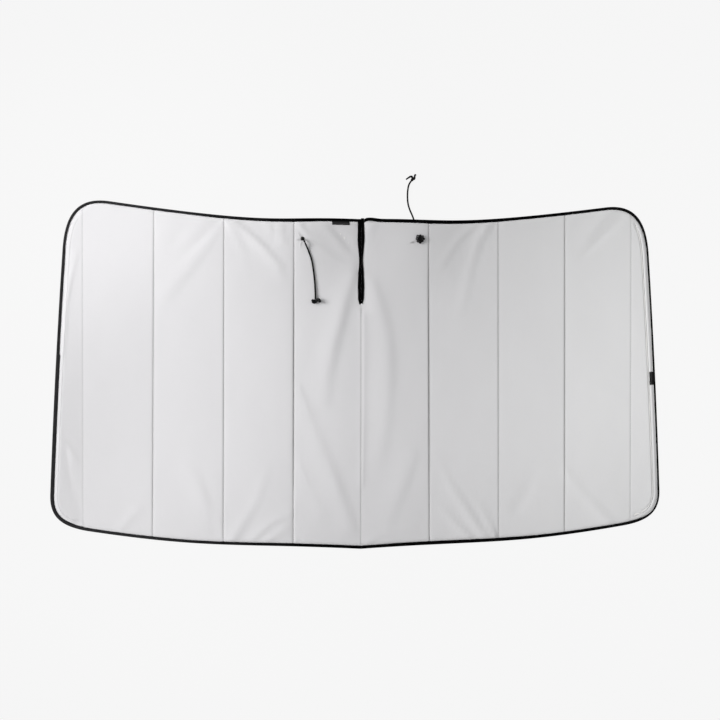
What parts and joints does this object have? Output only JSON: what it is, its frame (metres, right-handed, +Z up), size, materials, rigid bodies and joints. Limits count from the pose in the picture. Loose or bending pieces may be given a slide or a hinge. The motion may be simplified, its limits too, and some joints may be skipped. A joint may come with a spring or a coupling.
{
  "type": "windscreen frost cover",
  "caption": "Folding windscreen frost cover: light fabric over foam boards in stitched bays, black bound edge, mirror slit, and elastic cords with hooks.",
  "frame": {"origin": "centre of the cover's own box, cords and hooks apart, on the surface that it lies on", "axes": "+X across the windscreen, +Y from the bottom edge towards the slit in the top edge, +Z up, out of the light face"},
  "size_m": [1.4798, 0.9018, 0.0228],
  "materials": {
    "face_fabric": "smooth light grey coated fabric",
    "lining_fabric": "matt dark woven lining",
    "foam_board": "closed-cell foam board, hidden",
    "binding_tape": "black woven binding tape",
    "eyelet_metal": "black painted metal",
    "elastic_cord": "black braided elastic",
    "moulded_plastic": "black moulded plastic, semi-matt",
    "woven_label": "black woven label, blank"
  },
  "bodies": {
    "root": {"face_fabric": "face_fabric", "lining_fabric": "lining_fabric", "board_left_1": "foam_board", "board_left_2": "foam_board", "board_left_3": "foam_board", "board_left_4": "foam_board", "board_left_wing": "foam_board", "board_right_1": "foam_board", "board_right_2": "foam_board", "board_right_3": "foam_board", "board_right_4": "foam_board", "board_right_wing": "foam_board", "edge_binding": "binding_tape", "slit_binding_left": "binding_tape", "slit_binding_right": "binding_tape", "eyelet_left": "eyelet_metal", "eyelet_right": "eyelet_metal", "eyelet_washer_left": "eyelet_metal", "eyelet_washer_right": "eyelet_metal", "elastic_cord_left": "elastic_cord", "elastic_cord_right": "elastic_cord", "cord_hook_left": "moulded_plastic", "cord_hook_right": "moulded_plastic", "cord_stop_left": "moulded_plastic", "cord_stop_right": "moulded_plastic", "top_label": "woven_label", "side_label": "woven_label"}
  },
  "joints": []
}
